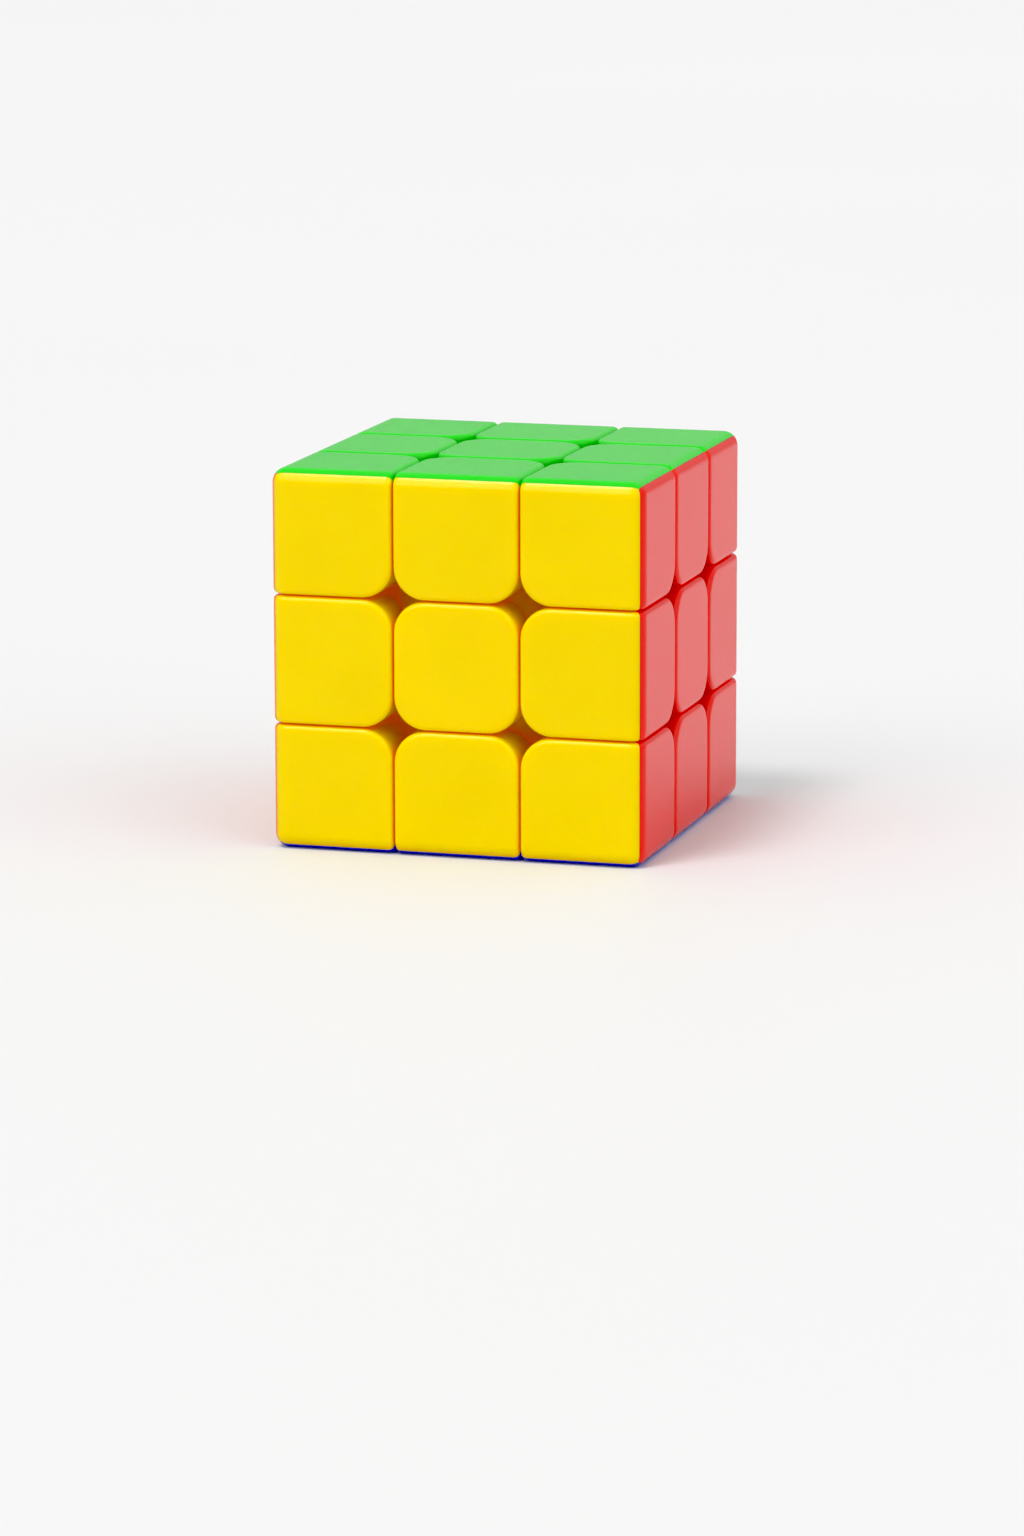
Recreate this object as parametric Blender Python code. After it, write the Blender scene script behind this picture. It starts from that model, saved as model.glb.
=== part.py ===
"""Twisty puzzle cube: a stickerless 3x3x3 cube, 56 mm across, with its whole turning mechanism.

Frame: the origin is the cube's centre, +Z comes out of the green top, -Y out of the yellow front
and +X out of the red right side. All turning axes meet at the origin, so every piece has its
origin there.

How it is divided: outside the bearing ball (radius BALL_RADIUS) the pieces meet on planes at
LAYER from the centre, and inside it, where the feet are, on planes at FOOT_LAYER. These planes
and the ball look the same from every face, so each of the six faces can turn. The feet of edges
and corners reach under their neighbours and can't come out. Each centre turns on a screw that
goes into the core, and a spring under the screw's head pulls it inwards.

Each kind of piece is modelled once, in millimetres, facing +Z (its main face) and +X (its next
face), and is then turned into all its places.
"""

import math

import bmesh
import bpy
from mathutils import Matrix, Vector

MM = 0.001
WHOLE_TURN = 2 * math.pi

# the cube
HALF = 28.0
LAYER = 9.5
SEAM = 0.3
CORNER_RADIUS = 4.7
CORNER_SEGMENTS = 4
WALL = 1.3

# the feet, inside the bearing ball
BALL_RADIUS = 24.5
BALL_GAP = 1.0
BALL_DETAIL = 3
FOOT_LAYER = 5.0
FOOT_INNER_RADIUS = 13.6
NECK_REACH = math.sqrt(BALL_RADIUS ** 2 - LAYER ** 2) + SEAM

# the centres: hub with its screw well, and cap
HUB_RADIUS = 4.7
HUB_BOTTOM = 12.6
WELL_RADIUS = 3.4
WELL_FLOOR = 14.2
BASE_TOP = 25.2
PLUG_BOTTOM = 24.2
PLUG_TOP = 26.6
CAP_WALL = 1.2
CAP_CLEARANCE = 0.3

# the screws and springs
SCREW_RADIUS = 1.4
SCREW_HOLE_RADIUS = 1.7
SCREW_TIP = 5.6
WASHER_BOTTOM = 19.3
WASHER_THICKNESS = 0.5
WASHER_RADIUS = 3.05
HEAD_RADIUS = 2.7
HEAD_TOP = 21.6
CROSS_LENGTH = 3.2
CROSS_WIDTH = 0.7
CROSS_DEPTH = 1.1
SPRING_RADIUS = 2.55
SPRING_WIRE = 0.32
SPRING_TURNS = 4
SPRING_STEPS = 8
SPRING_GAP = 0.32

# the core
CORE_RADIUS = 8.5
ARM_RADIUS = 3.6
ARM_LENGTH = 12.2
ROUND_SEGMENTS = 16
SMALL_SEGMENTS = 10
SHARP_ANGLE = math.radians(32)

# each face's outward direction and colour
FACES = {
    "top": ((0, 0, 1), "green"),
    "bottom": ((0, 0, -1), "blue"),
    "front": ((0, -1, 0), "yellow"),
    "back": ((0, 1, 0), "white"),
    "left": ((-1, 0, 0), "orange"),
    "right": ((1, 0, 0), "red"),
}

# colour, roughness and metallic value of each material
FINISHES = {
    "green": ((0.01, 0.52, 0.04), 0.3, 0.0),
    "blue": ((0.01, 0.09, 0.6), 0.3, 0.0),
    "yellow": ((0.95, 0.68, 0.01), 0.3, 0.0),
    "white": ((0.85, 0.85, 0.83), 0.3, 0.0),
    "orange": ((0.95, 0.22, 0.01), 0.3, 0.0),
    "red": ((0.72, 0.02, 0.02), 0.3, 0.0),
    "core_plastic": ((0.72, 0.72, 0.7), 0.45, 0.0),
    "steel": ((0.6, 0.6, 0.6), 0.3, 1.0),
}


# ---- basic solids, in millimetres ------------------------------------------------------------


def object_from(bm, name="shape"):
    """Turn a bmesh into an object, with its faces pointing out."""
    bmesh.ops.recalc_face_normals(bm, faces=bm.faces)
    mesh = bpy.data.meshes.new(name)
    bm.to_mesh(mesh)
    bm.free()
    shape = bpy.data.objects.new(name, mesh)
    bpy.context.scene.collection.objects.link(shape)
    return shape


def box(low, high, rounded=None, radius=0.0, segments=CORNER_SEGMENTS):
    """A box between two corners; edges for which rounded(edge) is true get a round of radius."""
    low, high = Vector(low), Vector(high)
    bm = bmesh.new()
    place = Matrix.Translation((low + high) / 2) @ Matrix.Diagonal((high - low).to_4d())
    place[3][3] = 1.0
    bmesh.ops.create_cube(bm, size=1.0, matrix=place)
    if rounded:
        edges = [edge for edge in bm.edges if rounded(edge)]
        bmesh.ops.bevel(bm, geom=edges, offset=radius, segments=segments,
                        profile=0.5, affect="EDGES")
    return object_from(bm)


def ball(radius):
    """A faceted ball about the cube's centre."""
    bm = bmesh.new()
    bmesh.ops.create_icosphere(bm, subdivisions=BALL_DETAIL, radius=radius)
    return object_from(bm)


def turned_solid(profile, segments=ROUND_SEGMENTS):
    """Turn a profile of (radius, height) points, from the lower end to the upper, about Z."""
    bm = bmesh.new()
    rings = []
    for radius, height in profile:
        angles = (WHOLE_TURN * step / segments for step in range(segments))
        rings.append([bm.verts.new((radius * math.cos(a), radius * math.sin(a), height))
                      for a in angles])
    for lower, upper in zip(rings, rings[1:]):
        for i in range(segments):
            j = (i + 1) % segments
            bm.faces.new((lower[i], lower[j], upper[j], upper[i]))
    bm.faces.new(reversed(rings[0]))
    bm.faces.new(rings[-1])
    return object_from(bm)


def rod(radius, bottom, top, segments=ROUND_SEGMENTS):
    """A plain cylinder along Z."""
    return turned_solid([(radius, bottom), (radius, top)], segments)


def combine(shape, tool, operation):
    """Apply a Boolean of tool to shape and remove the tool."""
    modifier = shape.modifiers.new("combine", "BOOLEAN")
    modifier.operation = operation
    modifier.solver = "EXACT"
    modifier.object = tool
    result = shape.evaluated_get(bpy.context.evaluated_depsgraph_get())
    mesh = bpy.data.meshes.new_from_object(result)
    shape.modifiers.clear()
    shape.data = mesh
    bpy.data.objects.remove(tool)
    return shape


def cut(shape, tool):
    return combine(shape, tool, "DIFFERENCE")


def join(shape, tool):
    return combine(shape, tool, "UNION")


def keep_inside(shape, tool):
    return combine(shape, tool, "INTERSECT")


def turn_shape(shape, matrix):
    """Turn an object's mesh about the cube's centre by a 3x3 matrix."""
    shape.data.transform(matrix.to_4x4())
    return shape


# ---- the cubies' common shapes ---------------------------------------------------------------


def corners_of(outward, layers, reach, inset=0.0):
    """The lowest and highest corner of a cubie's box.

    outward says for each axis whether the cubie has an outer face there. On such an axis the
    box runs from the layer's plane to reach, and on the others between both planes. All sides
    then move in by inset.
    """
    low = [layer + SEAM / 2 if out else SEAM / 2 - layer for out, layer in zip(outward, layers)]
    high = [reach if out else layer - SEAM / 2 for out, layer in zip(outward, layers)]
    return [value + inset for value in low], [value - inset for value in high]


def cubie_block(outward, inset=0.0, segments=CORNER_SEGMENTS):
    """The outer block of a cubie, with rounds on its inward corners as seen from each face.

    An edge of the block is rounded where it runs in from an outer face and lies on no other
    outer face.
    """
    low, high = corners_of(outward, [LAYER] * 3, HALF, inset)

    def runs_inwards(edge):
        start, end = (vert.co for vert in edge.verts)
        along = max(range(3), key=lambda axis: abs(start[axis] - end[axis]))
        others = [start[axis] for axis in range(3) if axis != along]
        return outward[along] and all(abs(value) < HALF - inset - SEAM for value in others)

    return box(low, high, runs_inwards, CORNER_RADIUS - inset, segments)


def foot(outward, inset=0.0):
    """The part of an edge or a corner that slides inside the bearing ball."""
    low, high = corners_of(outward, [FOOT_LAYER] * 3, BALL_RADIUS, inset)
    return keep_inside(box(low, high), ball(BALL_RADIUS - BALL_GAP - inset))


def neck(outward, inset=0.0):
    """The part of an edge that joins its foot to its block."""
    layers = [LAYER if out else FOOT_LAYER for out in outward]
    low, high = corners_of(outward, layers, NECK_REACH + inset, inset)
    return box(low, high)


def half_space(angle, height):
    """A large block above a plane at height from the centre, turned about Y by angle."""
    size = 3 * HALF
    above = box((-size, -size, height), (size, size, size))
    return turn_shape(above, Matrix.Rotation(angle, 3, "Y"))


# ---- the pieces --------------------------------------------------------------------------------


def corner_piece():
    """A corner: its three coloured shells and its foot, hollow and open at the foot's end."""
    everywhere = (True, True, True)
    shape = join(cubie_block(everywhere), foot(everywhere))
    shape = cut(shape, ball(FOOT_INNER_RADIUS))
    shape = cut(shape, cubie_block(everywhere, WALL, 1))
    shape = cut(shape, foot(everywhere, WALL))
    passage = box(*corners_of(everywhere, [LAYER] * 3, BALL_RADIUS, 2 * WALL))
    return cut(shape, passage)


def edge_shell():
    """One of the two coloured halves of an edge, split on the 45 degree plane, open inside."""
    outward = (True, False, True)
    shape = cut(cubie_block(outward), ball(BALL_RADIUS))
    shape = join(shape, neck(outward))
    shape = join(shape, foot(outward))
    shape = cut(shape, ball(FOOT_INNER_RADIUS))
    roof = half_space(math.pi / 4, BALL_RADIUS + WALL / 2)
    shape = cut(shape, keep_inside(cubie_block(outward, WALL, 1), roof))
    shape = cut(shape, neck(outward, WALL))
    shape = cut(shape, cut(foot(outward, WALL), ball(FOOT_INNER_RADIUS + WALL)))
    return keep_inside(shape, half_space(-math.pi / 4, SEAM / 2))


def centre_slab(inset, bottom, top):
    """A slice of a centre's block between two heights."""
    across = LAYER - SEAM / 2 - inset

    def upright(edge):
        start, end = (vert.co for vert in edge.verts)
        return abs(start.z - end.z) > SEAM

    return box((-across, -across, bottom), (across, across, top), upright,
               CORNER_RADIUS - inset)


def centre_hub():
    """A centre's body: a plate with rounded corners, and the hub with the screw's well."""
    shape = cut(centre_slab(0.0, FOOT_LAYER, BASE_TOP), ball(BALL_RADIUS))
    shape = join(shape, rod(HUB_RADIUS, HUB_BOTTOM, BASE_TOP))
    shape = join(shape, centre_slab(CAP_WALL + CAP_CLEARANCE, PLUG_BOTTOM, PLUG_TOP))
    shape = cut(shape, rod(WELL_RADIUS, WELL_FLOOR, HALF))
    return cut(shape, rod(SCREW_HOLE_RADIUS, 0.0, HALF, SMALL_SEGMENTS))


def centre_cap():
    """The coloured cap over a centre, with a skirt round the hub's plug."""
    skirt_bottom = BASE_TOP + CAP_CLEARANCE
    shape = centre_slab(0.0, skirt_bottom, HALF)
    return cut(shape, centre_slab(CAP_WALL, FOOT_LAYER, PLUG_TOP + CAP_CLEARANCE))


def tension_screw():
    """A pan-head screw with its washer, and a cross recess in the head."""
    washer_top = WASHER_BOTTOM + WASHER_THICKNESS
    shape = turned_solid([
        (SCREW_RADIUS / 2, SCREW_TIP),
        (SCREW_RADIUS, SCREW_TIP + SCREW_RADIUS),
        (SCREW_RADIUS, WASHER_BOTTOM),
        (WASHER_RADIUS, WASHER_BOTTOM),
        (WASHER_RADIUS, washer_top),
        (HEAD_RADIUS, washer_top),
        (HEAD_RADIUS, HEAD_TOP - SCREW_RADIUS / 2),
        (HEAD_RADIUS - SCREW_RADIUS / 2, HEAD_TOP),
    ], SMALL_SEGMENTS)
    recess = HEAD_TOP - CROSS_DEPTH
    for long, short in ((CROSS_LENGTH, CROSS_WIDTH), (CROSS_WIDTH, CROSS_LENGTH)):
        slot = box((-long / 2, -short / 2, recess), (long / 2, short / 2, HALF))
        shape = cut(shape, slot)
    return shape


def tension_spring():
    """A coil spring between the floor of the well and the washer."""
    curve = bpy.data.curves.new("spring", "CURVE")
    curve.dimensions = "3D"
    curve.bevel_depth = SPRING_WIRE
    curve.bevel_resolution = 0
    curve.use_fill_caps = True
    spline = curve.splines.new("POLY")
    steps = SPRING_TURNS * SPRING_STEPS
    spline.points.add(steps)
    bottom = WELL_FLOOR + SPRING_GAP + SPRING_WIRE
    top = WASHER_BOTTOM - SPRING_GAP - SPRING_WIRE
    for step, point in enumerate(spline.points):
        angle = WHOLE_TURN * step / SPRING_STEPS
        height = bottom + (top - bottom) * step / steps
        point.co = (SPRING_RADIUS * math.cos(angle), SPRING_RADIUS * math.sin(angle), height, 1)
    coil = bpy.data.objects.new("spring", curve)
    bpy.context.scene.collection.objects.link(coil)
    result = coil.evaluated_get(bpy.context.evaluated_depsgraph_get())
    shape = bpy.data.objects.new("spring", bpy.data.meshes.new_from_object(result))
    bpy.context.scene.collection.objects.link(shape)
    bpy.data.objects.remove(coil)
    return shape


def core_piece():
    """The core: a ball with six arms, each with a hole for its screw."""
    shape = ball(CORE_RADIUS)
    for axis in (Matrix.Identity(3), Matrix.Rotation(math.pi / 2, 3, "X"),
                 Matrix.Rotation(math.pi / 2, 3, "Y")):
        arms = rod(ARM_RADIUS, -ARM_LENGTH, ARM_LENGTH)
        shape = join(shape, turn_shape(arms, axis))
    hole_bottom = SCREW_TIP - CAP_CLEARANCE
    for face in FACES:
        hole = rod(SCREW_HOLE_RADIUS, hole_bottom, HALF, SMALL_SEGMENTS)
        shape = cut(shape, turn_shape(hole, turned(face, neighbours(face)[0])))
    return shape


# ---- places ------------------------------------------------------------------------------------


def direction(face):
    return Vector(FACES[face][0])


def neighbours(face):
    """The four faces round a face, in the fixed order of FACES."""
    return [other for other in FACES if direction(face).dot(direction(other)) == 0]


def turned(main, following):
    """The rotation that carries a piece's main face +Z and next face +X to two faces."""
    up, side = direction(main), direction(following)
    return Matrix((side, up.cross(side), up)).transposed()


def material(name):
    if name in bpy.data.materials:
        return bpy.data.materials[name]
    colour, roughness, metallic = FINISHES[name]
    finish = bpy.data.materials.new(name)
    finish.use_nodes = True
    shader = finish.node_tree.nodes["Principled BSDF"]
    shader.inputs["Base Color"].default_value = (*colour, 1)
    shader.inputs["Roughness"].default_value = roughness
    shader.inputs["Metallic"].default_value = metallic
    return finish


def finished_mesh(shape):
    """Scale a modelled piece to metres, shade it and keep only its mesh."""
    mesh = shape.data
    mesh.transform(Matrix.Scale(MM, 4))
    mesh.materials.clear()
    mesh.materials.append(None)
    mesh.shade_smooth()
    mesh.set_sharp_from_angle(angle=SHARP_ANGLE)
    bpy.data.objects.remove(shape)
    return mesh


def add_piece(name, mesh, rotation, finish):
    piece = bpy.data.objects.new(name, mesh)
    bpy.context.scene.collection.objects.link(piece)
    piece.matrix_world = rotation.to_4x4()
    piece.material_slots[0].link = "OBJECT"
    piece.material_slots[0].material = material(finish)


def add_centres():
    """Hub, cap, screw and spring of each of the six centres."""
    hub, cap = finished_mesh(centre_hub()), finished_mesh(centre_cap())
    screw, spring = finished_mesh(tension_screw()), finished_mesh(tension_spring())
    for face, (_, colour) in FACES.items():
        rotation = turned(face, neighbours(face)[0])
        add_piece(f"centre_hub_{face}", hub, rotation, colour)
        add_piece(f"centre_cap_{face}", cap, rotation, colour)
        add_piece(f"tension_screw_{face}", screw, rotation, "steel")
        add_piece(f"tension_spring_{face}", spring, rotation, "steel")


def add_edges():
    """The two coloured shells of each of the twelve edges."""
    shell = finished_mesh(edge_shell())
    order = list(FACES)
    for first in order:
        for second in neighbours(first):
            if order.index(first) < order.index(second):
                for main, following in ((first, second), (second, first)):
                    name = f"edge_{first}_{second}_{FACES[main][1]}_shell"
                    add_piece(name, shell, turned(main, following), FACES[main][1])


def add_corners():
    """The eight corners, in the colour of their top or bottom face."""
    corner = finished_mesh(corner_piece())
    for level in ("top", "bottom"):
        for depth in ("front", "back"):
            for side in ("left", "right"):
                clockwise = direction(level).cross(direction(depth)) == direction(side)
                following = depth if clockwise else side
                rotation = turned(level, following)
                add_piece(f"corner_{level}_{depth}_{side}", corner, rotation, FACES[level][1])


def main():
    for leftover in list(bpy.data.objects):
        bpy.data.objects.remove(leftover)
    core = finished_mesh(core_piece())
    add_piece("core", core, Matrix.Identity(3), "core_plastic")
    add_centres()
    add_edges()
    add_corners()


main()
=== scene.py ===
"""Looks of the twisty puzzle cube: a stickerless 3x3x3 cube with its turning mechanism.

Each kind of piece is modelled once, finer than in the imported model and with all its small
rounds, and is then turned into all its places. It is modelled in millimetres about the cube's
centre, facing +Z (its main face) and +X (its next face), and scaled to metres at the end.

A corner is three coloured shells and an edge is two. They meet without a gap on the 45 degree
planes through the cube's edges, where the colours change.
"""

import math

import bmesh
import bpy
from mathutils import Matrix, Vector


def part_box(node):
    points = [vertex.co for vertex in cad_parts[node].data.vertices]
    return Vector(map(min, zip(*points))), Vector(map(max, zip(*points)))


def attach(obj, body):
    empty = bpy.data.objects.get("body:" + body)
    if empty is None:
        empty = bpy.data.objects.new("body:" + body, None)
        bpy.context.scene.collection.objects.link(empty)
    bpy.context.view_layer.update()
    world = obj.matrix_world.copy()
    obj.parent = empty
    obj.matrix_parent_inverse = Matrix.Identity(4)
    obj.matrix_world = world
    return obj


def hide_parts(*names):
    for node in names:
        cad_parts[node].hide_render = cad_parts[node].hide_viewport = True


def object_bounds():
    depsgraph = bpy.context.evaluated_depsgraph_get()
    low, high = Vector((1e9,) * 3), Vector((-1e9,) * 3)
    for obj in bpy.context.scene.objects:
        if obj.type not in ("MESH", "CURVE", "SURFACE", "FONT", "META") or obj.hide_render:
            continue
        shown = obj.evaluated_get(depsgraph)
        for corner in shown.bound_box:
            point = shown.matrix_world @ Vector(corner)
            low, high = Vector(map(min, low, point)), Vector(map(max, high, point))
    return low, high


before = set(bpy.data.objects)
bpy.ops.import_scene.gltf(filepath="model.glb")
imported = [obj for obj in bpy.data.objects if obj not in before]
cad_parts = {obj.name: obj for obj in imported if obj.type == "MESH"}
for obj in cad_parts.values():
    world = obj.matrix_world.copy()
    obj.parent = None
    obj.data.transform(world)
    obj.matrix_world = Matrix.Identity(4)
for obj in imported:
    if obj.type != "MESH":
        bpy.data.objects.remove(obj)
cad_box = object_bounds()

MM = 0.001
WHOLE_TURN = 2 * math.pi
QUARTER_TURN = math.pi / 2
MITRE = math.pi / 4
X_AXIS, _, Z_AXIS = range(3)


def lowest(node, axis=Z_AXIS):
    """The lowest coordinate of a CAD node along an axis, in millimetres."""
    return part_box(node)[0][axis] / MM


def highest(node, axis=Z_AXIS):
    """The highest coordinate of a CAD node along an axis, in millimetres."""
    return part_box(node)[1][axis] / MM


# ---- sizes, in millimetres -------------------------------------------------------------------

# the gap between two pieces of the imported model, and the narrower one between cubies here
SEAM = 0.3
SHOWN_SEAM = 0.22

# from the centre to the cube's faces, to the planes between cubies and to those between feet
HALF = cad_box[1].z / MM
LAYER = highest("centre_cap_top", X_AXIS) + SEAM / 2
FOOT_LAYER = lowest("corner_top_back_right") - SEAM / 2

# the rounds at the openings, along the cube's edges and on each cubie's rim: a rim's round
# reaches RIM_REACH into both of its sides, and is squarer than a circle, whose profile is 0.5
CORNER_RADIUS = 4.7
EDGE_RADIUS = 2.2
RIM_REACH = 1.1
CIRCLE_PROFILE = 0.5
RIM_PROFILE = 0.63

# how thick a hollow cubie's walls are
WALL = 1.3

# the ball that the feet of edges and corners slide in, and the gap between it and the feet
BALL_RADIUS = 24.5
BALL_GAP = 1.0
FOOT_INNER_RADIUS = 13.6
NECK_REACH = math.sqrt(BALL_RADIUS ** 2 - LAYER ** 2) + SEAM

HUB_RADIUS = 4.7
HUB_BOTTOM = lowest("centre_hub_top")
CAP_BOTTOM = lowest("centre_cap_top") - SEAM
CAP_GAP = 0.05
PLUG_TOP = highest("centre_hub_top")
PLUG_INSET = 1.5
WELL_RADIUS = 3.4
WELL_FLOOR = 14.2

SCREW_TIP = lowest("tension_screw_top")
SCREW_RADIUS = 1.4
SCREW_HOLE_RADIUS = 1.7
THREAD_PITCH = 0.9
THREAD_DEPTH = 0.25
THREAD_TOP = 15.0
WASHER_BOTTOM = 19.3
WASHER_TOP = 19.8
WASHER_RADIUS = 3.05
WASHER_CHAMFER = 0.1
WASHER_PLAY = 0.05
HEAD_RADIUS = 2.7
HEAD_FILLET = 0.7
HEAD_TOP = highest("tension_screw_top")
CROSS_LENGTH = 3.2
CROSS_WIDTH = 0.7
CROSS_DEPTH = 1.1

SPRING_BOTTOM = lowest("tension_spring_top")
SPRING_TOP = highest("tension_spring_top")
SPRING_RADIUS = 2.55
SPRING_WIRE = 0.32
SPRING_TURNS = 4

CORE_RADIUS = 8.5
ARM_RADIUS = 3.6
ARM_LENGTH = highest("core")
ARM_CHAMFER = 0.5

# how finely round shapes are divided
CORNER_SEGMENTS = 14
EDGE_SEGMENTS = 10
RIM_SEGMENTS = 7
BALL_DETAIL = 5
ROUND_SEGMENTS = 48
THREAD_STEPS = 6
SPRING_STEPS = 32
SPRING_WIRE_STEPS = 4

# the angle from which an edge stays sharp, how much larger faces outweigh smaller ones in a
# normal (a percentage), and how near two points count as one
SHARP_ANGLE = math.radians(32)
WEIGHT_BY_AREA = 100
WELD = 0.002

# each face's outward direction and colour
FACES = {
    "top": ((0, 0, 1), "green"),
    "bottom": ((0, 0, -1), "blue"),
    "front": ((0, -1, 0), "yellow"),
    "back": ((0, 1, 0), "white"),
    "left": ((-1, 0, 0), "orange"),
    "right": ((1, 0, 0), "red"),
}

# the linear colour of each plastic
PLASTICS = {
    "green": (0.010, 0.575, 0.006),
    "blue": (0.003, 0.075, 0.52),
    "yellow": (0.88, 0.64, 0.001),
    "white": (0.80, 0.80, 0.78),
    "orange": (0.90, 0.17, 0.002),
    "red": (0.80, 0.0135, 0.006),
}


# ---- basic solids ------------------------------------------------------------------------------


def new_object(name, data):
    """An object in the scene with a mesh, curve, light or camera as its data."""
    made = bpy.data.objects.new(name, data)
    bpy.context.scene.collection.objects.link(made)
    return made


def object_from(bm, name="shape"):
    """Turn a bmesh into an object, with its faces pointing out."""
    bmesh.ops.recalc_face_normals(bm, faces=bm.faces)
    mesh = bpy.data.meshes.new(name)
    bm.to_mesh(mesh)
    bm.free()
    return new_object(name, mesh)


def evaluated_mesh(shape):
    """The mesh that an object's modifiers or curve settings make."""
    result = shape.evaluated_get(bpy.context.evaluated_depsgraph_get())
    return bpy.data.meshes.new_from_object(result)


def box_mesh(low, high):
    """A bmesh of a plain box between two corners."""
    low, high = Vector(low), Vector(high)
    bm = bmesh.new()
    place = Matrix.Translation((low + high) / 2) @ Matrix.Diagonal((*(high - low), 1.0))
    bmesh.ops.create_cube(bm, size=1.0, matrix=place)
    return bm


def box(low, high):
    return object_from(box_mesh(low, high))


def round_edges(bm, chosen, reach, segments, profile=CIRCLE_PROFILE):
    """Round the edges for which chosen(edge) is true."""
    edges = [edge for edge in bm.edges if chosen(edge)]
    bmesh.ops.bevel(bm, geom=edges, offset=reach, segments=segments, profile=profile,
                    affect="EDGES")


def ball(radius):
    """A fine ball about the cube's centre."""
    bm = bmesh.new()
    bmesh.ops.create_icosphere(bm, subdivisions=BALL_DETAIL, radius=radius)
    return object_from(bm)


def rings_to_solid(rings):
    """Join rings of points, from the lowest to the highest, and close both ends."""
    bm = bmesh.new()
    rows = [[bm.verts.new(point) for point in ring] for ring in rings]
    count = len(rows[0])
    for lower, upper in zip(rows, rows[1:]):
        for i in range(count):
            j = (i + 1) % count
            bm.faces.new((lower[i], lower[j], upper[j], upper[i]))
    bm.faces.new(reversed(rows[0]))
    bm.faces.new(rows[-1])
    return object_from(bm)


def ring_of_points(radius, height):
    """Points on a level circle about Z."""
    angles = (WHOLE_TURN * step / ROUND_SEGMENTS for step in range(ROUND_SEGMENTS))
    return [(radius * math.cos(a), radius * math.sin(a), height) for a in angles]


def turned_solid(profile):
    """Turn a profile of (radius, height) points, from the lower end to the upper, about Z."""
    return rings_to_solid([ring_of_points(radius, height) for radius, height in profile])


def rod(radius, bottom, top, chamfer=0.0):
    """A cylinder along Z, with a chamfer at both ends if one is given."""
    if not chamfer:
        return turned_solid([(radius, bottom), (radius, top)])
    return turned_solid([(radius - chamfer, bottom), (radius, bottom + chamfer),
                         (radius, top - chamfer), (radius - chamfer, top)])


def combine(shape, tool, operation):
    """Apply a Boolean of tool to shape and remove the tool."""
    modifier = shape.modifiers.new("combine", "BOOLEAN")
    modifier.operation = operation
    modifier.solver = "EXACT"
    modifier.object = tool
    mesh = evaluated_mesh(shape)
    shape.modifiers.clear()
    shape.data = mesh
    bpy.data.objects.remove(tool)
    return shape


def cut(shape, tool):
    return combine(shape, tool, "DIFFERENCE")


def join(shape, tool):
    return combine(shape, tool, "UNION")


def keep_inside(shape, tool):
    return combine(shape, tool, "INTERSECT")


def turn_shape(shape, matrix):
    """Turn an object's mesh about the cube's centre by a 3x3 matrix."""
    shape.data.transform(matrix.to_4x4())
    return shape


def half_space(axis, angle, height=0.0):
    """A large block above a plane at height from the centre, turned by angle about an axis."""
    size = 3 * HALF
    above = box((-size, -size, height), (size, size, size))
    return turn_shape(above, Matrix.Rotation(angle, 3, axis))


# ---- the cubies' common shapes -----------------------------------------------------------------


def corners_of(outward, layers, reach, inset=0.0):
    """The lowest and highest corner of a cubie's box.

    outward says for each axis whether the cubie has an outer face there. On such an axis the
    box runs from the layer's plane to reach, and on the others between both planes. All sides
    then move in by inset.
    """
    gap = SHOWN_SEAM / 2
    low = [layer + gap if out else gap - layer for out, layer in zip(outward, layers)]
    high = [reach if out else layer - gap for out, layer in zip(outward, layers)]
    return [value + inset for value in low], [value - inset for value in high]


def on_surface(values, inset=0.0):
    """How many of three coordinates lie on an outer face of the cube."""
    return sum(value > HALF - inset - WELD for value in values)


def inward_edge(outward, inset=0.0):
    """A test for the edges that run in from one outer face and lie on no other."""

    def test(edge):
        start, end = (vert.co for vert in edge.verts)
        along = max(range(3), key=lambda axis: abs(start[axis] - end[axis]))
        others = [start[axis] for axis in range(3) if axis != along]
        return outward[along] and on_surface(others, inset) == 0

    return test


def cube_edge(edge):
    """True for an edge between two outer faces of the cube."""
    start, end = (vert.co for vert in edge.verts)
    return on_surface(map(min, start, end)) == 2


def rim_edge(edge):
    """True for an edge between the cube's rounded outside and a seam's wall."""
    sides = [on_surface(face.calc_center_bounds(), EDGE_RADIUS) > 0 for face in edge.link_faces]
    return sides.count(True) == 1


def cubie_block(outward):
    """The outer block of a cubie with all its rounds."""
    bm = box_mesh(*corners_of(outward, [LAYER] * 3, HALF))
    round_edges(bm, inward_edge(outward), CORNER_RADIUS, CORNER_SEGMENTS)
    round_edges(bm, cube_edge, EDGE_RADIUS, EDGE_SEGMENTS)
    round_edges(bm, rim_edge, RIM_REACH, RIM_SEGMENTS, RIM_PROFILE)
    return object_from(bm)


def cubie_hollow(outward):
    """The hollow inside a cubie's outer block."""
    bm = box_mesh(*corners_of(outward, [LAYER] * 3, HALF, WALL))
    round_edges(bm, inward_edge(outward, WALL), CORNER_RADIUS - WALL, RIM_SEGMENTS)
    return object_from(bm)


def foot(outward, inset=0.0):
    """The part of an edge or a corner that slides inside the bearing ball."""
    low, high = corners_of(outward, [FOOT_LAYER] * 3, BALL_RADIUS, inset)
    return keep_inside(box(low, high), ball(BALL_RADIUS - BALL_GAP - inset))


def neck(outward, inset=0.0):
    """The part of an edge that joins its foot to its block."""
    layers = [LAYER if out else FOOT_LAYER for out in outward]
    low, high = corners_of(outward, layers, NECK_REACH + inset, inset)
    return box(low, high)


# ---- the pieces --------------------------------------------------------------------------------


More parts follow.
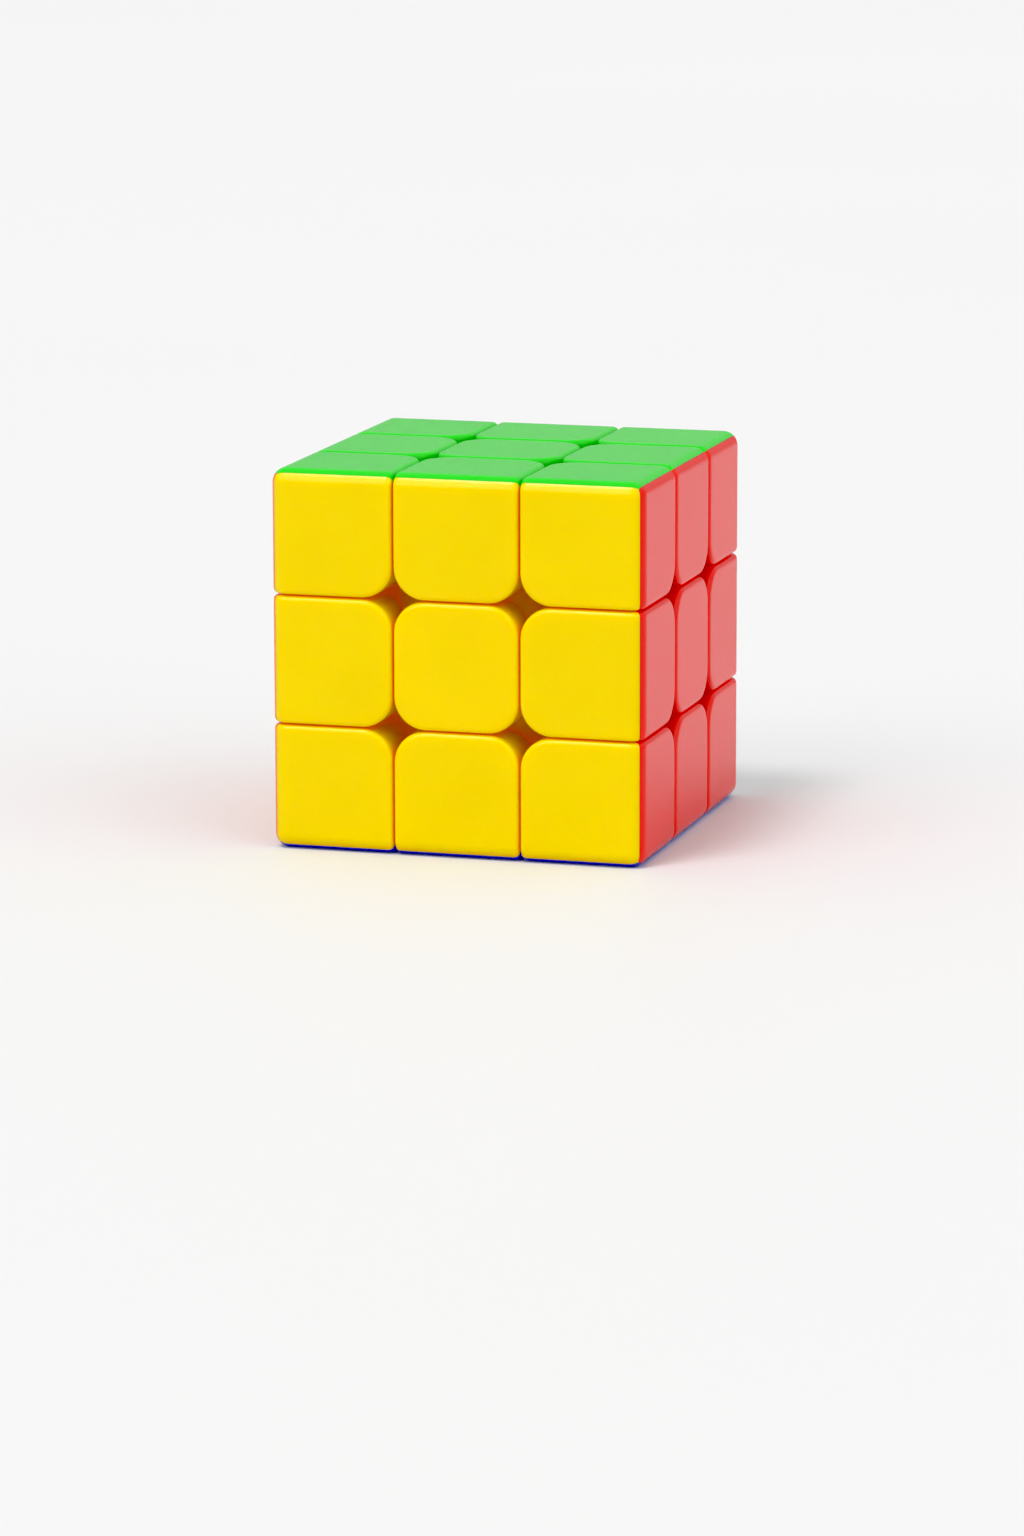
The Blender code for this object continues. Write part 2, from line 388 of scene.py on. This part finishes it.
def corner_shell():
    """The third of a corner that is nearest to its main face, with its share of the foot."""
    everywhere = (True, True, True)
    shape = join(cubie_block(everywhere), foot(everywhere))
    shape = cut(shape, ball(FOOT_INNER_RADIUS))
    shape = cut(shape, cubie_hollow(everywhere))
    shape = cut(shape, foot(everywhere, WALL))
    shape = cut(shape, box(*corners_of(everywhere, [LAYER] * 3, BALL_RADIUS, 2 * WALL)))
    shape = keep_inside(shape, half_space("Y", -MITRE))
    return keep_inside(shape, half_space("X", MITRE))


def edge_shell():
    """The half of an edge that is nearest to its main face, with its share of the foot."""
    outward = (True, False, True)
    shape = cut(cubie_block(outward), ball(BALL_RADIUS))
    shape = join(shape, neck(outward))
    shape = join(shape, foot(outward))
    shape = cut(shape, ball(FOOT_INNER_RADIUS))
    roof = half_space("Y", MITRE, BALL_RADIUS + WALL / 2)
    shape = cut(shape, keep_inside(cubie_hollow(outward), roof))
    shape = cut(shape, neck(outward, WALL))
    shape = cut(shape, cut(foot(outward, WALL), ball(FOOT_INNER_RADIUS + WALL)))
    return keep_inside(shape, half_space("Y", -MITRE))


def centre_slab(inset, bottom, top, rim=0.0):
    """A slice of a centre's block between two heights, with an optional round on its rim."""
    across = LAYER - SHOWN_SEAM / 2 - inset
    bm = box_mesh((-across, -across, bottom), (across, across, top))

    def upright(edge):
        start, end = (vert.co for vert in edge.verts)
        return abs(start.z - end.z) > SEAM

    def at_top(edge):
        return all(vert.co.z > top - WELD for vert in edge.verts)

    round_edges(bm, upright, CORNER_RADIUS - inset, CORNER_SEGMENTS)
    if rim:
        round_edges(bm, at_top, rim, RIM_SEGMENTS, RIM_PROFILE)
    return object_from(bm)


def centre_hub():
    """A centre's body: a plate with rounded corners, and the hub with the screw's well."""
    shape = cut(centre_slab(0.0, FOOT_LAYER, CAP_BOTTOM), ball(BALL_RADIUS))
    shape = join(shape, rod(HUB_RADIUS, HUB_BOTTOM, CAP_BOTTOM))
    shape = join(shape, centre_slab(PLUG_INSET, CAP_BOTTOM - WALL, PLUG_TOP, RIM_REACH / 2))
    shape = cut(shape, rod(WELL_RADIUS, WELL_FLOOR, HALF))
    return cut(shape, rod(SCREW_HOLE_RADIUS, 0.0, HALF))


def centre_cap():
    """The coloured cap over a centre, with a skirt round the hub's plug."""
    shape = centre_slab(0.0, CAP_BOTTOM + CAP_GAP, HALF, RIM_REACH)
    return cut(shape, centre_slab(PLUG_INSET - SEAM, FOOT_LAYER, PLUG_TOP + SEAM))


def tension_screw():
    """A pan-head screw with a helical thread and a cross recess."""
    shape = rings_to_solid(thread_rings() + [
        ring_of_points(SCREW_RADIUS, THREAD_TOP + THREAD_PITCH),
        ring_of_points(SCREW_RADIUS, WASHER_TOP),
        *(ring_of_points(radius, height) for radius, height in head_profile()),
    ])
    recess = HEAD_TOP - CROSS_DEPTH
    for long, short in ((CROSS_LENGTH, CROSS_WIDTH), (CROSS_WIDTH, CROSS_LENGTH)):
        slot = box((-long / 2, -short / 2, recess), (long / 2, short / 2, HALF))
        shape = cut(shape, slot)
    return shape


def thread_rings():
    """Rings of the screw's thread, which tapers off at the tip."""
    rings = []
    steps = round((THREAD_TOP - SCREW_TIP) / THREAD_PITCH * THREAD_STEPS)
    for step in range(steps + 1):
        height = SCREW_TIP + (THREAD_TOP - SCREW_TIP) * step / steps
        crest = min(SCREW_RADIUS, SCREW_RADIUS / 2 + height - SCREW_TIP)
        ring = []
        for x, y, z in ring_of_points(1.0, height):
            turn = (height / THREAD_PITCH - math.atan2(y, x) / WHOLE_TURN) % 1.0
            radius = crest - THREAD_DEPTH * 2 * abs(turn - 0.5)
            ring.append((radius * x, radius * y, z))
        rings.append(ring)
    return rings


def head_profile():
    """The outline of the screw's pan head, with a quarter round at the top."""
    radius, height = HEAD_RADIUS - HEAD_FILLET, HEAD_TOP - HEAD_FILLET
    quarter = [QUARTER_TURN * step / RIM_SEGMENTS for step in range(RIM_SEGMENTS + 1)]
    return [(HEAD_RADIUS, WASHER_TOP)] + [
        (radius + HEAD_FILLET * math.cos(a), height + HEAD_FILLET * math.sin(a))
        for a in quarter]


def washer():
    """The washer under the screw's head."""
    shape = rod(WASHER_RADIUS, WASHER_BOTTOM, WASHER_TOP, WASHER_CHAMFER)
    return cut(shape, rod(SCREW_RADIUS + WASHER_PLAY, 0.0, HALF))


def tension_spring():
    """A coil spring of round wire between the floor of the well and the washer."""
    curve = bpy.data.curves.new("spring", "CURVE")
    curve.dimensions = "3D"
    curve.bevel_depth = SPRING_WIRE
    curve.bevel_resolution = SPRING_WIRE_STEPS
    curve.use_fill_caps = True
    spline = curve.splines.new("POLY")
    steps = SPRING_TURNS * SPRING_STEPS
    spline.points.add(steps)
    bottom, top = SPRING_BOTTOM + SPRING_WIRE, SPRING_TOP - SPRING_WIRE
    for step, point in enumerate(spline.points):
        angle = WHOLE_TURN * step / SPRING_STEPS
        height = bottom + (top - bottom) * step / steps
        point.co = (SPRING_RADIUS * math.cos(angle), SPRING_RADIUS * math.sin(angle), height, 1)
    coil = new_object("spring", curve)
    shape = new_object("spring", evaluated_mesh(coil))
    bpy.data.objects.remove(coil)
    return shape


def core_piece():
    """The core: a ball with six arms, each with a hole for its screw."""
    shape = ball(CORE_RADIUS)
    for rotation in (Matrix.Identity(3), Matrix.Rotation(QUARTER_TURN, 3, "X"),
                     Matrix.Rotation(QUARTER_TURN, 3, "Y")):
        arms = rod(ARM_RADIUS, -ARM_LENGTH, ARM_LENGTH, ARM_CHAMFER)
        shape = join(shape, turn_shape(arms, rotation))
    for face in FACES:
        hole = rod(SCREW_HOLE_RADIUS, SCREW_TIP - SEAM, HALF)
        shape = cut(shape, turn_shape(hole, turned_to(face)))
    return shape


# ---- places ------------------------------------------------------------------------------------


def direction(face):
    return Vector(FACES[face][0])


def neighbours(face):
    """The four faces round a face, in the fixed order of FACES."""
    return [other for other in FACES if direction(face).dot(direction(other)) == 0]


def turned(main, following):
    """The rotation that carries a piece's main face +Z and next face +X to two faces."""
    up, side = direction(main), direction(following)
    return Matrix((side, up.cross(side), up)).transposed()


def turned_to(face):
    """A rotation that carries +Z to a face."""
    return turned(face, neighbours(face)[0])


def face_towards(way):
    """The face whose outward direction is way."""
    return next(face for face in FACES if direction(face) == way)


def body_of(kind, *faces):
    """The name of a body: its kind and its faces, in the fixed order of FACES."""
    return "_".join([kind, *sorted(faces, key=list(FACES).index)])


def finished_mesh(shape):
    """Clean a modelled piece's mesh, give it the normals of its true surface, scale to metres."""
    bm = bmesh.new()
    bm.from_mesh(shape.data)
    bmesh.ops.remove_doubles(bm, verts=bm.verts, dist=WELD)
    bmesh.ops.dissolve_degenerate(bm, edges=bm.edges, dist=WELD)
    bmesh.ops.triangulate(bm, faces=[face for face in bm.faces if len(face.verts) > 4])
    bm.to_mesh(shape.data)
    bm.free()
    shape.data.shade_smooth()
    shape.data.set_sharp_from_angle(angle=SHARP_ANGLE)
    weighted = shape.modifiers.new("normals", "WEIGHTED_NORMAL")
    weighted.mode = "FACE_AREA"
    weighted.weight = WEIGHT_BY_AREA
    weighted.keep_sharp = True
    mesh = evaluated_mesh(shape)
    mesh.transform(Matrix.Scale(MM, 4))
    bpy.data.objects.remove(shape)
    return mesh


def add_piece(name, mesh, rotation, body, nodes, finish):
    """Place a copy of a mesh on a body, in place of CAD nodes, with a finish's material."""
    slot, material = finish
    mesh = mesh.copy()
    mesh.transform(rotation.to_4x4())
    mesh.materials.clear()
    mesh.materials.append(material)
    piece = new_object(name, mesh)
    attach(piece, body)
    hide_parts(*nodes)


def add_centres(finishes):
    """Cap, hub, screw, washer and spring of each of the six centres."""
    cap, hub = finished_mesh(centre_cap()), finished_mesh(centre_hub())
    screw, ring = finished_mesh(tension_screw()), finished_mesh(washer())
    spring = finished_mesh(tension_spring())
    for face, (_, colour) in FACES.items():
        rotation, body = turned_to(face), f"centre_{face}"
        plastic, steel = finishes[colour], finishes["steel"]
        screw_node, spring_node = f"tension_screw_{face}", f"tension_spring_{face}"
        add_piece(f"cap_{face}", cap, rotation, body, [f"centre_cap_{face}"], plastic)
        add_piece(f"hub_{face}", hub, rotation, body, [f"centre_hub_{face}"], plastic)
        add_piece(f"screw_{face}", screw, rotation, "core", [screw_node], steel)
        add_piece(f"washer_{face}", ring, rotation, "core", [screw_node], steel)
        add_piece(f"spring_{face}", spring, rotation, body, [spring_node], steel)


def add_edges(finishes):
    """The two coloured shells of each of the twelve edges."""
    shell = finished_mesh(edge_shell())
    for main, (_, colour) in FACES.items():
        for following in neighbours(main):
            body = body_of("edge", main, following)
            add_piece(f"{body}_{colour}", shell, turned(main, following), body,
                      [f"{body}_{colour}_shell"], finishes[colour])


def add_corners(finishes):
    """The three coloured shells of each of the eight corners."""
    shell = finished_mesh(corner_shell())
    for main, (_, colour) in FACES.items():
        for following in neighbours(main):
            third = face_towards(direction(main).cross(direction(following)))
            body = body_of("corner", main, following, third)
            add_piece(f"{body}_{colour}", shell, turned(main, following), body, [body],
                      finishes[colour])


# ---- materials ---------------------------------------------------------------------------------

# noise stays mostly within this range
NOISE_RANGE = (0.3, 0.7)

# Painted shade and painted light in gaps and holes: the shade there, and the light that bounces
# between walls of one colour or comes through the slightly translucent plastic, are painted in as
# a darker, more saturated base colour and as emission. A place counts as a recess by its share of
# open space within the
# first distance below (metres): fully under the second, not at all over the third. Then come how
# far the painted colour is deepened, the strength of the painted light, and the samples.
SHADE_PAINT_REACH = 0.004
SHADE_PAINT_SHUT = 0.15
SHADE_PAINT_OPEN = 0.45
SHADE_PAINT_POWER = 2.4
PAINTED_LIGHT_LEVEL = 0.11
SHADE_PAINT_SAMPLES = 8

# the moulded plastic: how much light spreads in it and how far (metres, and the share of that for
# red, green and blue), its faint mottling, its frosted grain and its flow marks (sizes and depths
# in metres), its lowest and highest roughness, and its gloss
SPREAD_WEIGHT = 0.5
SPREAD_DISTANCE = 0.002
SPREAD_COLOURS = (1.0, 0.4, 0.1)
MOTTLE_SIZE = 0.012
MOTTLE_SHADE = 0.965
GRAIN_SIZE = 0.0003
GRAIN_DETAIL = 3.0
GRAIN_DEPTH = 0.00003
FLOW_SIZE = 0.006
FLOW_DEPTH = 0.00001
PLASTIC_ROUGHNESS = (0.15, 0.24)
PLASTIC_GLOSS = 0.28

# the core's nylon, the steel and the floor: two colours and the size of their mottling, then the
# grain's size, detail and depth, and the lowest and highest roughness
NYLON_COLOURS = (0.70, 0.70, 0.67), (0.62, 0.62, 0.59)
NYLON_MOTTLE_SIZE = 0.004
NYLON_GRAIN = (0.0003, 4.0, 0.00001)
NYLON_ROUGHNESS = (0.42, 0.58)
STEEL_COLOURS = (0.66, 0.66, 0.65), (0.52, 0.52, 0.52)
STEEL_MOTTLE_SIZE = 0.0015
STEEL_GRAIN = (0.0001, 3.0, 0.000002)
STEEL_ROUGHNESS = (0.2, 0.36)
FLOOR_COLOURS = (0.70, 0.70, 0.70), (0.69, 0.69, 0.69)
FLOOR_MOTTLE_SIZE = 0.4
FLOOR_ROUGHNESS = 0.6
FLOOR_GLOSS = 0.1


class Graph:
    """A short way to write a material's nodes."""

    def __init__(self, name):
        self.material = bpy.data.materials.new(name)
        self.material.use_nodes = True
        self.nodes = self.material.node_tree.nodes
        self.shader = self.nodes["Principled BSDF"]

    def add(self, kind, **inputs):
        """Add a node. Each input is a plain value or another node's output."""
        node = self.nodes.new(kind)
        for name, value in inputs.items():
            self.set(node, name.replace("_", " "), value)
        return node

    def set(self, node, name, value):
        socket = node.inputs[name]
        if isinstance(value, bpy.types.NodeSocket):
            self.material.node_tree.links.new(value, socket)
        else:
            socket.default_value = value

    def noise(self, size, detail=2.0):
        """Noise whose features are about size metres across."""
        place = self.add("ShaderNodeTexCoord").outputs["Object"]
        return self.add("ShaderNodeTexNoise", Vector=place, Scale=1 / size,
                        Detail=detail).outputs["Fac"]

    def between(self, noise, low, high):
        """Map a noise to the range from low to high."""
        least, most = NOISE_RANGE
        return self.add("ShaderNodeMapRange", Value=noise, From_Min=least, From_Max=most,
                        To_Min=low, To_Max=high).outputs["Result"]

    def mix(self, factor, first, second):
        """Mix two colours, each a plain one or another node's output."""
        node = self.nodes.new("ShaderNodeMix")
        node.data_type = "RGBA"
        self.set(node, "Factor", factor)
        sockets = [socket for socket in node.inputs if socket.type == "RGBA"]
        for socket, colour in zip(sockets, (first, second)):
            if isinstance(colour, bpy.types.NodeSocket):
                self.material.node_tree.links.new(colour, socket)
            else:
                socket.default_value = (*colour, 1)
        return next(socket for socket in node.outputs if socket.type == "RGBA")

    def mottled(self, size, first, second):
        """A colour that drifts between two plain ones over about size metres."""
        return self.mix(self.between(self.noise(size), 0.0, 1.0), first, second)

    def recess(self):
        """How much painted shade and painted light a place gets: from 0 in the open to 1 in gaps
        and holes.
        """
        node = self.add("ShaderNodeAmbientOcclusion", Distance=SHADE_PAINT_REACH)
        node.samples = SHADE_PAINT_SAMPLES
        return self.add("ShaderNodeMapRange", Value=node.outputs["AO"], From_Min=SHADE_PAINT_SHUT,
                        From_Max=SHADE_PAINT_OPEN, To_Min=1.0, To_Max=0.0).outputs["Result"]

    def bump(self, height, depth, normal=None):
        """Small bumps up to depth metres high, on top of another bump's normal if given."""
        node = self.add("ShaderNodeBump", Height=height, Distance=depth, Strength=1.0)
        if normal:
            self.set(node, "Normal", normal)
        return node.outputs["Normal"]


def moulded_plastic(name, colour):
    """Glossy moulded plastic: even colour, faint mottling, a very fine frosted grain, and shade
    and light painted into gaps and holes.
    """
    graph = Graph(name)
    darker = tuple(value * MOTTLE_SHADE for value in colour)
    # the colour painted into gaps and holes in place of their shade and bounced light
    painted_shade_colour = tuple(value * (value / max(colour)) ** SHADE_PAINT_POWER for value in colour)
    surface, recess = graph.mottled(MOTTLE_SIZE, colour, darker), graph.recess()
    # painted light: emission in gaps and holes, standing in for light that bounces there or comes
    # through the plastic
    painted_light = graph.add("ShaderNodeMapRange", Value=recess, To_Max=PAINTED_LIGHT_LEVEL)
    grain, flow = graph.noise(GRAIN_SIZE, GRAIN_DETAIL), graph.noise(FLOW_SIZE)
    fine = graph.bump(grain, GRAIN_DEPTH)
    # base colour: the mottled colour, painted darker and more saturated in gaps and holes as
    # shade
    graph.set(graph.shader, "Base Color", graph.mix(recess, surface, painted_shade_colour))
    graph.set(graph.shader, "Emission Color", (*painted_shade_colour, 1))
    graph.set(graph.shader, "Emission Strength", painted_light.outputs["Result"])
    graph.set(graph.shader, "Subsurface Weight", SPREAD_WEIGHT)
    graph.set(graph.shader, "Subsurface Scale", SPREAD_DISTANCE)
    graph.set(graph.shader, "Subsurface Radius", SPREAD_COLOURS)
    graph.set(graph.shader, "Roughness", graph.between(grain, *PLASTIC_ROUGHNESS))
    graph.set(graph.shader, "Normal", graph.bump(flow, FLOW_DEPTH, normal=fine))
    graph.set(graph.shader, "Specular IOR Level", PLASTIC_GLOSS)
    return graph.material


def grainy_graph(name, colours, mottle_size, grain, roughness):
    """A material with mottled colour, and a grain in its roughness and its bumps."""
    graph = Graph(name)
    size, detail, depth = grain
    marks = graph.noise(size, detail)
    graph.set(graph.shader, "Base Color", graph.mottled(mottle_size, *colours))
    graph.set(graph.shader, "Roughness", graph.between(marks, *roughness))
    graph.set(graph.shader, "Normal", graph.bump(marks, depth))
    return graph


def core_plastic(name):
    """Off-white nylon with a slightly grainy, duller surface."""
    return grainy_graph(name, NYLON_COLOURS, NYLON_MOTTLE_SIZE, NYLON_GRAIN,
                        NYLON_ROUGHNESS).material


def drawn_steel(name):
    """Bright steel wire and screws, with faint drawing marks and stains."""
    graph = grainy_graph(name, STEEL_COLOURS, STEEL_MOTTLE_SIZE, STEEL_GRAIN, STEEL_ROUGHNESS)
    graph.set(graph.shader, "Metallic", 1.0)
    return graph.material


def pale_floor(name):
    """A matt white table top with hardly any mottling."""
    graph = Graph(name)
    graph.set(graph.shader, "Base Color", graph.mottled(FLOOR_MOTTLE_SIZE, *FLOOR_COLOURS))
    graph.set(graph.shader, "Roughness", FLOOR_ROUGHNESS)
    graph.set(graph.shader, "Specular IOR Level", FLOOR_GLOSS)
    return graph.material


def all_finishes():
    """Each finish as a pair: the slot that the record names, and the material."""
    finishes = {}
    for colour, value in PLASTICS.items():
        slot = f"{colour}_plastic"
        finishes[colour] = slot, moulded_plastic(slot, value)
    finishes["core"] = "core_plastic", core_plastic("core_plastic")
    finishes["steel"] = "steel", drawn_steel("steel")
    return finishes


# ---- the stage ---------------------------------------------------------------------------------

# the camera's place as seen from the cube's centre, in degrees and metres, its small turns away
# from the centre in degrees, and its lens and sensor in millimetres
CAMERA_AZIMUTH = 16.44
CAMERA_ELEVATION = 10.16
CAMERA_DISTANCE = 0.8975
CAMERA_PAN = 0.017
CAMERA_TILT = -1.25
CAMERA_ROLL = -0.135
CAMERA_LENS = 142.0
CAMERA_SENSOR = 36.0
CAMERA_NEAREST, CAMERA_FARTHEST = 0.01, 50.0

# the floor's size in metres and how many parts it has along a side, the room's brightness, and
# how far black is raised
FLOOR_SIZE = 12.0
FLOOR_PARTS = 8
WORLD_HORIZON = 0.42
WORLD_ZENITH = 1.0
BLACK_LEVEL = 0.02

# soft lamps: the azimuth and elevation they come from and their apparent width, in degrees, and
# their strength
LAMPS = {
    "overhead": (-30.0, 68.0, 16.0, 1.1),
    "front_left": (-30.0, 36.0, 40.0, 0.7),
    "right": (70.0, 30.0, 60.0, 0.7),
}


def way_from(azimuth, elevation):
    """The unit vector from the cube towards an azimuth and an elevation in degrees."""
    a, e = math.radians(azimuth), math.radians(elevation)
    return Vector((math.sin(a) * math.cos(e), -math.cos(a) * math.cos(e), math.sin(e)))


def add_camera():
    data = bpy.data.cameras.new("camera")
    data.lens = CAMERA_LENS
    data.sensor_width = CAMERA_SENSOR
    data.clip_start, data.clip_end = CAMERA_NEAREST, CAMERA_FARTHEST
    camera = new_object("camera", data)
    camera.location = way_from(CAMERA_AZIMUTH, CAMERA_ELEVATION) * CAMERA_DISTANCE
    turn = Matrix.Rotation(math.radians(CAMERA_AZIMUTH - CAMERA_PAN), 3, "Z")
    tilt = Matrix.Rotation(math.radians(90 - CAMERA_ELEVATION + CAMERA_TILT), 3, "X")
    roll = Matrix.Rotation(math.radians(CAMERA_ROLL), 3, "Z")
    camera.rotation_euler = (turn @ tilt @ roll).to_euler()
    bpy.context.scene.camera = camera


def add_lamp(name, azimuth, elevation, width, strength):
    data = bpy.data.lights.new(name, "SUN")
    data.energy = strength
    data.angle = math.radians(width)
    lamp = new_object(name, data)
    lamp.rotation_euler = way_from(azimuth, elevation).to_track_quat("Z", "Y").to_euler()


def add_world():
    """A pale room, darker towards the horizon than overhead."""
    world = bpy.data.worlds.new("room")
    world.use_nodes = True
    nodes, links = world.node_tree.nodes, world.node_tree.links
    coordinates = nodes.new("ShaderNodeTexCoord")
    parts = nodes.new("ShaderNodeSeparateXYZ")
    shade = nodes.new("ShaderNodeMapRange")
    shade.inputs["To Min"].default_value = WORLD_HORIZON
    shade.inputs["To Max"].default_value = WORLD_ZENITH
    links.new(coordinates.outputs["Generated"], parts.inputs[0])
    links.new(parts.outputs["Z"], shade.inputs["Value"])
    links.new(shade.outputs["Result"], nodes["Background"].inputs["Strength"])
    nodes["Background"].inputs["Color"].default_value = (1, 1, 1, 1)
    bpy.context.scene.world = world


def add_floor():
    bm = bmesh.new()
    bmesh.ops.create_grid(bm, x_segments=FLOOR_PARTS, y_segments=FLOOR_PARTS,
                          size=FLOOR_SIZE / 2, matrix=Matrix.Translation((0, 0, cad_box[0].z)))
    floor = object_from(bm, "floor")
    floor.data.materials.append(pale_floor("floor"))


def set_film():
    """Plain colours, with the black point raised a little."""
    view = bpy.context.scene.view_settings
    view.view_transform = "Standard"
    view.look = "None"
    view.use_curve_mapping = True
    view.curve_mapping.black_level = (BLACK_LEVEL,) * 3
    view.curve_mapping.update()


def save_sizes():
    """Bring the scene's placements up to date."""
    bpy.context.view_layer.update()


def main():
    finishes = all_finishes()
    core = finished_mesh(core_piece())
    add_piece("core_ball", core, Matrix.Identity(3), "core", ["core"], finishes["core"])
    add_centres(finishes)
    add_edges(finishes)
    add_corners(finishes)
    add_floor()
    add_world()
    for name, settings in LAMPS.items():
        add_lamp(name, *settings)
    add_camera()
    set_film()
    save_sizes()


main()
